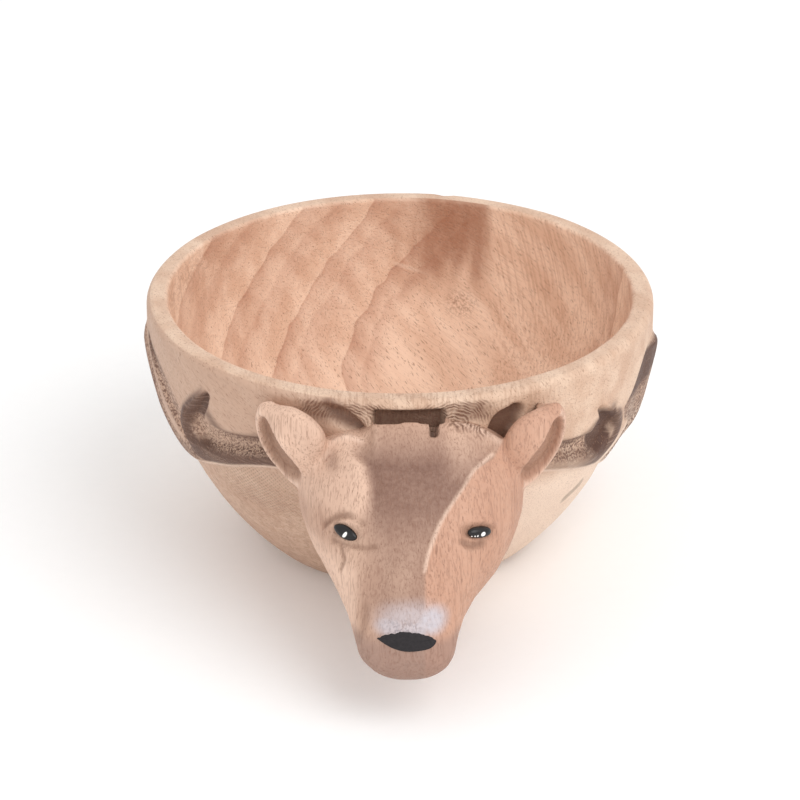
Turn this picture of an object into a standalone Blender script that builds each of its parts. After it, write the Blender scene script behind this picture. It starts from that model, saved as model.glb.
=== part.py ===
"""A small carved wooden bowl with a deer's head on its front wall, in metres.

The bowl stands on its foot at Z = 0 with its own axis on Z. The head looks along -Y.
Depths are measured down from the rim, because the carving was laid out from there.
"""

from math import cos, pi, radians, sin

import bmesh
import bpy
from mathutils import Matrix, Vector

MM = 0.001

# Bowl
HEIGHT = 52 * MM
RIM_RADIUS = 50 * MM
MOUTH_RADIUS = 45.8 * MM
CAVITY_DEPTH = 45.4 * MM
CAVITY_SQUARENESS = 2.25
BELLY_RADIUS = 44.8 * MM
BELLY_CENTRE_DEPTH = 19.7 * MM
BELLY_FULLNESS = 1.66  # 2 is a round belly, and less runs straighter down to the foot
SHOULDER_TOP = 6 * MM
SHOULDER_BOTTOM = 37 * MM
RIM_OUTER_ROUND = 1.4 * MM
RIM_INNER_ROUND = 1.2 * MM
BOWL_STEPS = 76
OUTER_POINTS = 17
CAVITY_POINTS = 13

# Head
HEAD_OFFSET = 2.0 * MM
HEAD_SIDES = 24
HEAD_SQUARENESS = 2.5
HEAD_WIDEST = 0.42  # share of the way from the forehead to the jaw
JAW_TAPER = 0.22
GLUE_GAP = 0.3 * MM

# Ears
EAR_LENGTH = 17 * MM
EAR_WIDTH = 10.5 * MM
EAR_THICKNESS = 6.5 * MM
EAR_SPREAD = 23.6 * MM
EAR_FORWARD = 47.6 * MM
EAR_DEPTH = 9.0 * MM
EAR_POINTS = Vector((0.42, 0.10, 0.82))  # from its root to its tip, on the +X side
EAR_FACES = Vector((0.62, -0.78, 0.05))
EAR_HOLLOW = Vector((0.72, 0.66, 0.8))  # shares of the ear's length, width and thickness
EAR_HOLLOW_RISE = 2.6 * MM
EAR_HOLLOW_SHIFT = 0.4 * MM

# Face
EYE_SPREAD = 12.2 * MM
EYE_FORWARD = 63.9 * MM
EYE_DEPTH = 19.8 * MM
EYE_LENGTH = 5.0 * MM
EYE_HEIGHT = 2.6 * MM
EYE_THICKNESS = 2.4 * MM
EYE_POINTS = Vector((-0.72, -0.62, -0.30))  # from its outer corner to its inner corner, on the +X side
EYE_FACES = Vector((0.52, -0.69, 0.50))
NOSE_WIDTH = 11.0 * MM
NOSE_HEIGHT = 4.6 * MM
NOSE_THICKNESS = 1.8 * MM
NOSE_OFFSET = 1.2 * MM
NOSE_FORWARD = 79.5 * MM
NOSE_DEPTH = 33.1 * MM
NOSE_TILT = radians(61)

# Crown slot, between the rim and the head
SLOT_WIDTH = 11.6 * MM
SLOT_LENGTH = 2.6 * MM
SLOT_DEPTH = 3.2 * MM
CROWN_DEPTH = 4.6 * MM

# Pegs
PEG_RADIUS = 2 * MM
PEG_LENGTH = 9.4 * MM
PEG_SPREAD = 8 * MM
PEG_DEPTH = 17 * MM
PEG_BACK = 44.9 * MM
PEG_CHAMFER = 0.4 * MM

# The head's profile, seen from the side, from the wall to the tip of the muzzle:
# (forward and depth of the forehead line, forward and depth of the jaw line, half width), in millimetres
HEAD_STATIONS = (
    (44.0, 7.5, 31.0, 32.0, 20.4),
    (49.0, 4.6, 37.0, 34.8, 21.2),
    (52.0, 3.7, 41.5, 36.6, 21.5),
    (55.0, 5.6, 46.0, 38.0, 20.8),
    (59.0, 9.8, 51.5, 39.3, 19.3),
    (63.3, 14.3, 57.0, 40.2, 16.9),
    (67.6, 18.9, 62.5, 40.8, 14.2),
    (71.8, 23.4, 68.0, 41.9, 11.7),
    (75.6, 27.4, 72.8, 42.9, 10.0),
    (78.8, 31.0, 76.6, 43.2, 9.0),
    (80.8, 34.2, 79.0, 42.4, 7.9),
    (81.3, 36.6, 80.3, 40.6, 5.2),
)

# One antler, from behind the ear to each tip: (angle round the wall from the front in degrees, depth in
# millimetres, half width in millimetres)
BEAM = (
    (39, 15.6, 2.6),
    (44, 17.0, 3.0),
    (52, 19.2, 3.1),
    (60, 21.4, 3.0),
    (67, 22.4, 2.9),
    (72.5, 19.6, 2.8),
    (75.5, 15.0, 2.6),
    (78, 10.6, 2.3),
    (80, 7.0, 1.5),
)
FRONT_TINE = (
    (58, 20.6, 2.6),
    (55, 16.4, 3.1),
    (52, 12.4, 3.0),
    (49.5, 8.6, 2.5),
    (47.5, 5.4, 1.5),
)
TINE_SINK = 1.0 * MM

WELD = 0.01 * MM


def ease(value):
    value = min(max(value, 0.0), 1.0)
    return value * value * (3 - 2 * value)


def wall_radius(depth):
    """The plain outer wall: a tapering belly with an upright shoulder under the rim."""
    share = (max(depth - BELLY_CENTRE_DEPTH, 0.0) / BELLY_RADIUS) ** BELLY_FULLNESS
    belly = BELLY_RADIUS * (1 - share) ** (1 / BELLY_FULLNESS)
    shoulder = 1 - ease((depth - SHOULDER_TOP) / (SHOULDER_BOTTOM - SHOULDER_TOP))
    return belly + (RIM_RADIUS - BELLY_RADIUS) * shoulder


def cavity_radius(depth):
    share = (depth / CAVITY_DEPTH) ** CAVITY_SQUARENESS
    return MOUTH_RADIUS * max(1 - share, 0.0) ** (1 / CAVITY_SQUARENESS)


def arc(centre_r, centre_depth, radius, start, end, count):
    angles = [start + (end - start) * i / (count - 1) for i in range(count)]
    return [(centre_r + radius * cos(a), centre_depth - radius * sin(a)) for a in angles]


def outer_profile(offset=0.0):
    """(radius, depth) points of the outer wall from under the rim's rounding down to the foot's edge."""
    points = []
    for i in range(OUTER_POINTS):
        depth = RIM_OUTER_ROUND + (HEIGHT - RIM_OUTER_ROUND) * i / (OUTER_POINTS - 1)
        points.append((wall_radius(depth) + offset, depth))
    return points


def bowl_profile():
    """The whole section: foot centre, foot edge, up the wall, over the rim and down the cavity."""
    cavity = []
    for i in range(1, CAVITY_POINTS):
        turn = pi / 2 * i / CAVITY_POINTS
        depth = CAVITY_DEPTH * sin(turn) ** 1.1
        cavity.append((cavity_radius(depth), depth))
    rim = arc(RIM_RADIUS - RIM_OUTER_ROUND, RIM_OUTER_ROUND, RIM_OUTER_ROUND, 0, pi / 2, 5)[1:]
    rim += arc(MOUTH_RADIUS + RIM_INNER_ROUND, RIM_INNER_ROUND, RIM_INNER_ROUND, pi / 2, pi * 0.9, 4)
    section = [(0.0, HEIGHT)] + outer_profile()[::-1] + rim + cavity
    return section + [(0.0, CAVITY_DEPTH)]


def material(name, colour, roughness):
    made = bpy.data.materials.new(name)
    made.use_nodes = True
    shader = made.node_tree.nodes["Principled BSDF"]
    shader.inputs["Base Color"].default_value = (*colour, 1)
    shader.inputs["Roughness"].default_value = roughness
    shader.inputs["Metallic"].default_value = 0
    made.diffuse_color = (*colour, 1)
    return made


def add_object(name, mesh_data, surface=None):
    """Turns a bmesh into a smooth-shaded object."""
    bmesh.ops.recalc_face_normals(mesh_data, faces=mesh_data.faces)
    mesh = bpy.data.meshes.new(name)
    mesh_data.to_mesh(mesh)
    mesh_data.free()
    mesh.shade_smooth()
    mesh.set_sharp_from_angle(angle=radians(40))
    made = bpy.data.objects.new(name, mesh)
    bpy.context.scene.collection.objects.link(made)
    if surface:
        mesh.materials.append(surface)
    return made


def helper(made):
    """Marks a cutter, or a shape that is joined to another, so that it isn't part of the object itself."""
    made.hide_render = True
    made.display_type = "WIRE"
    return made


def boolean(target, operand, operation):
    modifier = target.modifiers.new(operand.name, "BOOLEAN")
    modifier.operation = operation
    modifier.solver = "EXACT"
    modifier.object = operand


def turned(profile, steps):
    """Spins a (radius, depth) section round the bowl's axis."""
    bm = bmesh.new()
    points = [bm.verts.new((radius, 0, HEIGHT - depth)) for radius, depth in profile]
    edges = [bm.edges.new(pair) for pair in zip(points, points[1:])]
    bmesh.ops.spin(
        bm,
        geom=points + edges,
        cent=(0, 0, 0),
        axis=(0, 0, 1),
        angle=2 * pi,
        steps=steps,
        use_merge=True,
    )
    bmesh.ops.remove_doubles(bm, verts=bm.verts, dist=WELD)
    return bm


def loft(loops):
    """A closed body through loops of points, each with the same number of points."""
    bm = bmesh.new()
    rings = []
    for points in loops:
        verts = [bm.verts.new(point) for point in points]
        rings.append([bm.edges.new((a, b)) for a, b in zip(verts, verts[1:] + verts[:1])])
    for near, far in zip(rings, rings[1:]):
        bmesh.ops.bridge_loops(bm, edges=near + far)
    bmesh.ops.holes_fill(bm, edges=rings[0] + rings[-1], sides=len(rings[0]))
    return bm


def on_wall(angle, depth, sink):
    """A point that many degrees round the wall from the front (+ towards +X), sunk below its surface."""
    radius = wall_radius(depth) - sink
    turn = radians(angle)
    return Vector((radius * sin(turn), -radius * cos(turn), HEIGHT - depth))


def tine(name, route, side):
    """A tapering round rib along the wall, joined to the bowl afterwards."""
    curve = bpy.data.curves.new(name, "CURVE")
    curve.dimensions = "3D"
    curve.bevel_depth = MM
    curve.bevel_resolution = 2
    curve.use_fill_caps = True
    curve.resolution_u = 3
    spline = curve.splines.new("NURBS")
    spline.points.add(len(route) - 1)
    spline.order_u = 3
    spline.use_endpoint_u = True
    for point, (angle, depth, half_width) in zip(spline.points, route):
        point.co = (*on_wall(side * angle, depth * MM, TINE_SINK), 1)
        point.radius = half_width
    drawn = bpy.data.objects.new(name + "_curve", curve)
    bpy.context.scene.collection.objects.link(drawn)
    bpy.context.view_layer.update()
    graph = bpy.context.evaluated_depsgraph_get()
    bm = bmesh.new()
    bm.from_mesh(bpy.data.meshes.new_from_object(drawn.evaluated_get(graph)))
    bmesh.ops.remove_doubles(bm, verts=bm.verts, dist=WELD)
    bpy.data.objects.remove(drawn)
    return helper(add_object(name, bm))


def make_bowl(wood):
    bowl = add_object("bowl", turned(bowl_profile(), BOWL_STEPS), wood)
    for side, word in ((-1, "left"), (1, "right")):
        boolean(bowl, tine("beam_" + word, BEAM, side), "UNION")
        boolean(bowl, tine("front_tine_" + word, FRONT_TINE, side), "UNION")
    return bowl


def make_wall_cutter():
    """The bowl's outside, a glue line larger, filled in and carried up past the rim."""
    section = [(0.0, HEIGHT + GLUE_GAP)] + outer_profile(GLUE_GAP)[::-1]
    section += [(RIM_RADIUS + GLUE_GAP, -10 * MM), (0.0, -10 * MM)]
    return helper(add_object("wall_cutter", turned(section, BOWL_STEPS)))


def head_loop(forward_top, depth_top, forward_jaw, depth_jaw, half_width):
    """One slice across the head: broad at the brow, narrower at the jaw."""
    top = Vector((0, -forward_top, -depth_top)) * MM
    jaw = Vector((0, -forward_jaw, -depth_jaw)) * MM
    points = []
    for i in range(HEAD_SIDES):
        turn = 2 * pi * i / HEAD_SIDES
        across = abs(sin(turn)) ** (2 / HEAD_SQUARENESS) * (1 if sin(turn) >= 0 else -1)
        along = abs(cos(turn)) ** (2 / HEAD_SQUARENESS) * (1 if cos(turn) >= 0 else -1)
        down = (1 - along) / 2
        taper = 1 - JAW_TAPER * ease((down - HEAD_WIDEST) / (1 - HEAD_WIDEST))
        point = top.lerp(jaw, down)
        point.x = HEAD_OFFSET + across * half_width * MM * taper
        point.z += HEIGHT
        points.append(point)
    return points


def ellipsoid(name, length, width, thickness, place, surface=None):
    """An egg-smooth body, its length along X, width along Y and thickness along Z before it is placed."""
    bm = bmesh.new()
    bmesh.ops.create_uvsphere(bm, u_segments=20, v_segments=12, radius=0.5)
    bmesh.ops.scale(bm, vec=(length, width, thickness), verts=bm.verts)
    made = add_object(name, bm, surface)
    made.matrix_world = place
    return made


def facing(location, along, outward):
    """A placement whose X runs along one direction and whose Z faces another, as near as it can."""
    x = Vector(along).normalized()
    y = Vector(outward).cross(x).normalized()
    z = x.cross(y)
    turn = Matrix((x, y, z)).transposed().to_4x4()
    return Matrix.Translation(Vector(location)) @ turn


def to_side(direction, side):
    """A direction given for the +X side, mirrored when the side is -1."""
    return Vector((side * direction.x, direction.y, direction.z))


def ear_place(side):
    middle = (HEAD_OFFSET + side * EAR_SPREAD, -EAR_FORWARD, HEIGHT - EAR_DEPTH)
    return facing(middle, to_side(EAR_POINTS, side), to_side(EAR_FACES, side))


def eye_place(side):
    middle = (HEAD_OFFSET + side * EYE_SPREAD, -EYE_FORWARD, HEIGHT - EYE_DEPTH)
    return facing(middle, to_side(EYE_POINTS, side), to_side(EYE_FACES, side))


def nose_place():
    middle = (NOSE_OFFSET, -NOSE_FORWARD, HEIGHT - NOSE_DEPTH)
    return facing(middle, (1, 0, 0), (0, -sin(NOSE_TILT), cos(NOSE_TILT)))


def peg_place(side):
    middle = (HEAD_OFFSET + side * PEG_SPREAD, -PEG_BACK - PEG_LENGTH / 2, HEIGHT - PEG_DEPTH)
    return facing(middle, (1, 0, 0), (0, -1, 0))


def cylinder(name, radius, length, place, surface=None, chamfer=0.0):
    bm = bmesh.new()
    bmesh.ops.create_cone(
        bm,
        cap_ends=True,
        cap_tris=False,
        segments=24,
        radius1=radius,
        radius2=radius,
        depth=length,
    )
    if chamfer:
        ends = [edge for edge in bm.edges if abs(edge.verts[0].co.z - edge.verts[1].co.z) < WELD]
        bmesh.ops.bevel(
            bm, geom=ends, offset=chamfer, segments=1, profile=0.5, affect="EDGES", material=-1
        )
    made = add_object(name, bm, surface)
    made.matrix_world = place
    return made


def make_head(wood):
    head = add_object("deer_head", loft([head_loop(*station) for station in HEAD_STATIONS]), wood)
    rounding = head.modifiers.new("rounding", "SUBSURF")
    rounding.levels = 1
    rounding.render_levels = 1
    for side, word in ((-1, "left"), (1, "right")):
        place = ear_place(side)
        ear = ellipsoid("ear_" + word, EAR_LENGTH, EAR_WIDTH, EAR_THICKNESS, place)
        boolean(head, helper(ear), "UNION")
        hollow_place = place @ Matrix.Translation((EAR_HOLLOW_SHIFT, 0, EAR_HOLLOW_RISE))
        hollow = ellipsoid(
            "ear_hollow_" + word,
            EAR_LENGTH * EAR_HOLLOW.x,
            EAR_WIDTH * EAR_HOLLOW.y,
            EAR_THICKNESS * EAR_HOLLOW.z,
            hollow_place,
        )
        boolean(head, helper(hollow), "DIFFERENCE")
        socket = ellipsoid(
            "eye_socket_" + word,
            EYE_LENGTH + 2 * GLUE_GAP,
            EYE_HEIGHT + 2 * GLUE_GAP,
            EYE_THICKNESS + 2 * GLUE_GAP,
            eye_place(side),
        )
        boolean(head, helper(socket), "DIFFERENCE")
    pocket = ellipsoid(
        "nose_pocket",
        NOSE_WIDTH + 2 * GLUE_GAP,
        NOSE_HEIGHT + 2 * GLUE_GAP,
        NOSE_THICKNESS + 2 * GLUE_GAP,
        nose_place(),
    )
    boolean(head, helper(pocket), "DIFFERENCE")
    boolean(head, make_wall_cutter(), "DIFFERENCE")
    boolean(head, make_slot_cutter(), "DIFFERENCE")
    return head


def make_slot_cutter():
    """The straight slot sawn between the wall and the crown."""
    bm = bmesh.new()
    bmesh.ops.create_cube(bm, size=1)
    bmesh.ops.scale(bm, vec=(SLOT_WIDTH, 2 * SLOT_LENGTH, 2 * SLOT_DEPTH), verts=bm.verts)
    centre = (HEAD_OFFSET, -RIM_RADIUS, HEIGHT - CROWN_DEPTH)
    bmesh.ops.translate(bm, vec=centre, verts=bm.verts)
    return helper(add_object("slot_cutter", bm))


def make_pegs(wood, bowl, head):
    """Two pegs across the glue line, in blind holes in the wall and in the head."""
    for side, word in ((-1, "left"), (1, "right")):
        place = peg_place(side)
        cylinder("peg_" + word, PEG_RADIUS, PEG_LENGTH, place, wood, chamfer=PEG_CHAMFER)
        hole = cylinder(
            "peg_hole_" + word, PEG_RADIUS + GLUE_GAP / 2, PEG_LENGTH + 2 * GLUE_GAP, place
        )
        helper(hole)
        boolean(bowl, hole, "DIFFERENCE")
        boolean(head, hole, "DIFFERENCE")


def make_face(gloss_black, matt_black):
    for side, word in ((-1, "left"), (1, "right")):
        ellipsoid(
            "eye_" + word, EYE_LENGTH, EYE_HEIGHT, EYE_THICKNESS, eye_place(side), gloss_black
        )
    ellipsoid("nose_pad", NOSE_WIDTH, NOSE_HEIGHT, NOSE_THICKNESS, nose_place(), matt_black)


def clear_scene():
    for old in list(bpy.data.objects):
        bpy.data.objects.remove(old)


def main():
    clear_scene()
    pale_wood = material("rubberwood_turned", (0.62, 0.42, 0.27), 0.62)
    head_wood = material("rubberwood_carved", (0.47, 0.30, 0.20), 0.66)
    peg_wood = material("beech_peg", (0.66, 0.50, 0.34), 0.6)
    gloss_black = material("black_lacquer", (0.012, 0.012, 0.012), 0.12)
    matt_black = material("black_matt_paint", (0.03, 0.03, 0.032), 0.7)
    bowl = make_bowl(pale_wood)
    head = make_head(head_wood)
    make_pegs(peg_wood, bowl, head)
    make_face(gloss_black, matt_black)


main()
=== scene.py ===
"""A small carved wooden bowl with a deer's head on its front wall: its finished surfaces.

The bowl stands on its foot at Z = 0 with its own axis on Z, and the head looks along -Y. The shapes are
worked out in millimetres. A place on the wall is an angle round it from the front, + towards +X, and a
depth below the rim. A place on the head is (x, forward, depth): across, out from the bowl's axis, and
down from the rim.
"""

from math import cos, pi, radians, sin, sqrt

import bmesh
import bpy
import numpy as np
from bpy.props import FloatProperty, FloatVectorProperty, PointerProperty
from mathutils import Matrix, Vector, noise
from mathutils.bvhtree import BVHTree


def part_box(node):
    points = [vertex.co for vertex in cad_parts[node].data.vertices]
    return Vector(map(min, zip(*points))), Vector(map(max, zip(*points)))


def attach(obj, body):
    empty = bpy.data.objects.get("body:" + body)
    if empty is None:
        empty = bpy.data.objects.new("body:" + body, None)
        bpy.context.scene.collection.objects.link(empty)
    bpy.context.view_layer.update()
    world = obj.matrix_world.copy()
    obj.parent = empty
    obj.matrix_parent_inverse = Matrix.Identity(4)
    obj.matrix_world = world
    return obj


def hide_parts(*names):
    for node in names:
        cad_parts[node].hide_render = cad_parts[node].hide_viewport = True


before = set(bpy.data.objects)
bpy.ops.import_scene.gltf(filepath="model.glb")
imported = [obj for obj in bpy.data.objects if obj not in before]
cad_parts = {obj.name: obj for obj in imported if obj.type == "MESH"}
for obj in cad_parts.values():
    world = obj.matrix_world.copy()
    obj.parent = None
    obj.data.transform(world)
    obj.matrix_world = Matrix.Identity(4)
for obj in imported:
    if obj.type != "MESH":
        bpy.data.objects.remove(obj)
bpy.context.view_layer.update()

bl_info = {
    "name": "Carved deer bowl",
    "version": (1, 0, 0),
    "blender": (4, 5, 0),
    "location": "3D View > Sidebar > Deer Bowl",
    "description": "Makes a turned and carved wooden bowl with a deer's head",
    "category": "Object",
}

MM = 0.001
BOWL_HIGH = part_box("bowl")[1]
HEIGHT = BOWL_HIGH.z / MM
RIM_RADIUS = round(BOWL_HIGH.y / MM, 1)

# The turned section, in millimetres
MOUTH_RADIUS = 45.8
CAVITY_DEPTH = 45.4
CAVITY_SQUARENESS = 2.25
BELLY_RADIUS = 44.8
BELLY_CENTRE_DEPTH = 19.7
BELLY_FULLNESS = 1.66
SHOULDER_TOP = 6
SHOULDER_BOTTOM = 37
OUTER_ROUND = 1.5
INNER_ROUND = 0.8
FOOT_ROUND = 0.7

# The head as it is roughed out, from inside the wall to the tip of the muzzle:
# (forward and depth of the forehead line, forward and depth of the jaw line, half width, middle)
HEAD_STATIONS = (
    (43.5, 6.0, 31.0, 32.0, 19.6, 2.0),
    (48.0, 3.2, 36.0, 34.2, 20.8, 2.0),
    (51.4, 3.0, 40.5, 36.3, 21.5, 2.0),
    (54.6, 5.6, 45.4, 37.8, 21.0, 2.1),
    (59.0, 9.8, 51.5, 39.3, 19.3, 2.2),
    (63.3, 14.3, 57.0, 40.2, 16.9, 2.2),
    (67.6, 18.9, 62.5, 40.8, 13.6, 1.5),
    (71.8, 23.4, 68.0, 41.9, 11.1, 1.2),
    (75.6, 27.4, 72.8, 42.9, 9.7, 1.1),
    (78.8, 31.0, 76.6, 43.0, 8.9, 1.2),
    (80.8, 34.2, 79.0, 42.0, 7.4, 1.5),
    (81.4, 36.8, 80.4, 40.6, 5.2, 1.7),
)
HEAD_SIDES = 40
HEAD_SQUARENESS = 2.5
HEAD_VOXEL = 0.42
HEAD_BEDDED = 2.0  # how far the head's back is sunk into the turned wall

# Which way the fibres of each block run
BOWL_FIBRE = Vector((0.539, -0.664, -0.518))
EDGE_LINES = Vector((0.217, -0.363, -0.906))
HEAD_FIBRE = Vector((0.03, -0.42, -0.9))
# How dark a growth ring is from its inner edge to its outer edge: a crisp line, a fade, a second faint line
RING_PROFILE = (
    (0.0, 1.0), (0.05, 0.75), (0.30, 0.30), (0.37, 0.70), (0.60, 0.30), (0.85, 0.0), (0.975, 0.0), (1.0, 1.0)
)
WAVE_TURN = 2 * pi / 20  # a wave texture's scale for one stripe to a unit
PITH = Vector((-18.1, -23.8, HEIGHT + 11.7))  # a point on the middle of the tree


def hex_colour(value):
    """An sRGB hex colour as linear red, green, blue and alpha."""
    channels = [int(value[i : i + 2], 16) / 255 for i in (1, 3, 5)]
    return [c / 12.92 if c <= 0.04045 else ((c + 0.055) / 1.055) ** 2.4 for c in channels] + [1.0]


def shade(value):
    """A colour from its sRGB hex, or from a colour property."""
    return hex_colour(value) if isinstance(value, str) else list(value)


def ease(value):
    value = np.clip(value, 0.0, 1.0)
    return value * value * (3 - 2 * value)


def bell(distance, width):
    """1 in the middle, falling softly to 0 at that distance."""
    return np.clip(1 - (distance / width) ** 2, 0, None) ** 2


def tent(distance, width):
    """1 in the middle with a sharp crest, falling straight to 0 at that distance."""
    return np.clip(1 - distance / width, 0, None)


def plateau(distance, width, edge):
    """1 out to near that distance, then a step down to 0 over the edge's width."""
    return 1 - ease((distance - width + edge / 2) / edge)


def wall_radius(depth):
    """The turned outer wall before it is carved: a tapering belly with an upright shoulder."""
    share = np.clip((depth - BELLY_CENTRE_DEPTH) / BELLY_RADIUS, 0, 1) ** BELLY_FULLNESS
    belly = BELLY_RADIUS * (1 - share) ** (1 / BELLY_FULLNESS)
    shoulder = 1 - ease((depth - SHOULDER_TOP) / (SHOULDER_BOTTOM - SHOULDER_TOP))
    return belly + (RIM_RADIUS - BELLY_RADIUS) * shoulder


def cavity_radius(depth):
    share = np.clip(depth / CAVITY_DEPTH, 0, 1) ** CAVITY_SQUARENESS
    return MOUTH_RADIUS * (1 - share) ** (1 / CAVITY_SQUARENESS)


def smooth_route(route, steps=6):
    """A rounded curve through the route's points, each a tuple of numbers."""
    route = np.asarray(route, float)
    ends = np.vstack([2 * route[0] - route[1], route, 2 * route[-1] - route[-2]])
    found = []
    for p0, p1, p2, p3 in zip(ends, ends[1:], ends[2:], ends[3:]):
        for t in np.arange(steps) / steps:
            swing = (2 * p0 - 5 * p1 + 4 * p2 - p3) * t**2 + (3 * p1 - p0 - 3 * p2 + p3) * t**3
            found.append((2 * p1 + (p2 - p0) * t + swing) / 2)
    return np.array(found + [route[-1]])


def nearest(points, route):
    """Each point's distance to the route, and its share of the way along it."""
    best = np.full(len(points), np.inf)
    where = np.zeros(len(points))
    for i, (a, b) in enumerate(zip(route, route[1:])):
        leg = b - a
        t = np.clip((points - a) @ leg / (leg @ leg), 0, 1)
        distance = np.linalg.norm(points - a - t[:, None] * leg, axis=1)
        closer = distance < best
        best[closer] = distance[closer]
        where[closer] = (i + t[closer]) / (len(route) - 1)
    return best, where


def roughness_of(points, size, seed=0.0):
    """Smooth random values, about -1 to 1, that change over the given size."""
    shift = Vector((seed, seed * 1.7, seed * 0.6))
    return np.array([noise.noise(Vector(p) / size + shift) for p in points.tolist()])


class Clay:
    """A mesh's points in millimetres while they are carved, and the masks that are painted on them."""

    def __init__(self, mesh):
        self.mesh = mesh
        flat = np.empty(len(mesh.vertices) * 3, np.float32)
        mesh.vertices.foreach_get("co", flat)
        self.points = flat.reshape(-1, 3).astype(float) / MM
        self.masks = {}
        self.settle()

    def settle(self):
        """Puts the points back in the mesh and reads the new normals."""
        self.mesh.vertices.foreach_set("co", (self.points * MM).astype(np.float32).ravel())
        self.mesh.update()
        flat = np.empty(len(self.mesh.vertices) * 3, np.float32)
        self.mesh.vertices.foreach_get("normal", flat)
        self.normals = flat.reshape(-1, 3).astype(float)

    def paint(self, name, amount):
        self.masks[name] = np.maximum(self.masks.get(name, 0.0), amount)

    def raise_by(self, height):
        self.points += self.normals * np.asarray(height)[:, None]

    def finish(self):
        self.settle()
        for name, values in self.masks.items():
            layer = self.mesh.attributes.new(name, "FLOAT", "POINT")
            layer.data.foreach_set("value", np.broadcast_to(values, len(self.points)).astype(np.float32))


def new_object(name, mesh_data, surfaces):
    """Turns a bmesh into a smooth-shaded object with the given materials."""
    mesh = bpy.data.meshes.new(name)
    mesh_data.to_mesh(mesh)
    mesh_data.free()
    mesh.shade_smooth()
    for surface in surfaces:
        mesh.materials.append(surface)
    made = bpy.data.objects.new(name, mesh)
    bpy.context.scene.collection.objects.link(made)
    return made


def add(tree, kind, inputs=None, **settings):
    """Adds a node with its own settings, and gives each input a value or the socket that feeds it."""
    made = tree.nodes.new("ShaderNode" + kind)
    for key, value in settings.items():
        setattr(made, key, value)
    for key, value in (inputs or {}).items():
        if isinstance(value, bpy.types.NodeSocket):
            tree.links.new(value, made.inputs[key])
        else:
            made.inputs[key].default_value = value
    return made


def new_material(name, **sockets):
    """A material whose shader has the given constant values. Returns it with its tree and its shader."""
    made = bpy.data.materials.new(name)
    made.use_nodes = True
    shader = made.node_tree.nodes["Principled BSDF"]
    for key, value in sockets.items():
        shader.inputs[key.replace("_", " ")].default_value = value
    return made, made.node_tree, shader


def fibre_turn(fibre):
    """The rotation that turns Z along the fibres."""
    return fibre.normalized().to_track_quat("Z", "Y").to_euler()


def streaks(tree, place, size, detail, turn=(0, 0, 0), cut=None):
    """Noise drawn out to a size in millimetres, its Z along `turn`. `cut` keeps only its peaks, as 0 to 1."""
    settings = {"Vector": place, "Rotation": turn, "Scale": [s * MM for s in size]}
    space = add(tree, "Mapping", settings, vector_type="TEXTURE").outputs[0]
    found = add(tree, "TexNoise", {"Vector": space, "Scale": 1.0, "Detail": detail}).outputs[0]
    if cut:
        limits = {0: found, 1: cut[0], 2: cut[1]}
        found = add(tree, "MapRange", limits, interpolation_type="SMOOTHSTEP").outputs[0]
    return found


def tinted(tree, colour, tint, *factors, clamp=False):
    """A tint laid over a colour by the product of the factors: numbers, sockets or names of masks."""
    amount = None
    for factor in factors:
        if isinstance(factor, str):
            factor = add(tree, "Attribute", attribute_name=factor).outputs["Fac"]
        if amount is None:
            amount = factor
        else:
            both = {0: amount, 1: factor}
            amount = add(tree, "Math", both, operation="MULTIPLY", use_clamp=clamp).outputs[0]
    return add(tree, "Mix", {0: amount, 6: colour, 7: tint}, data_type="RGBA").outputs[2]


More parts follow.
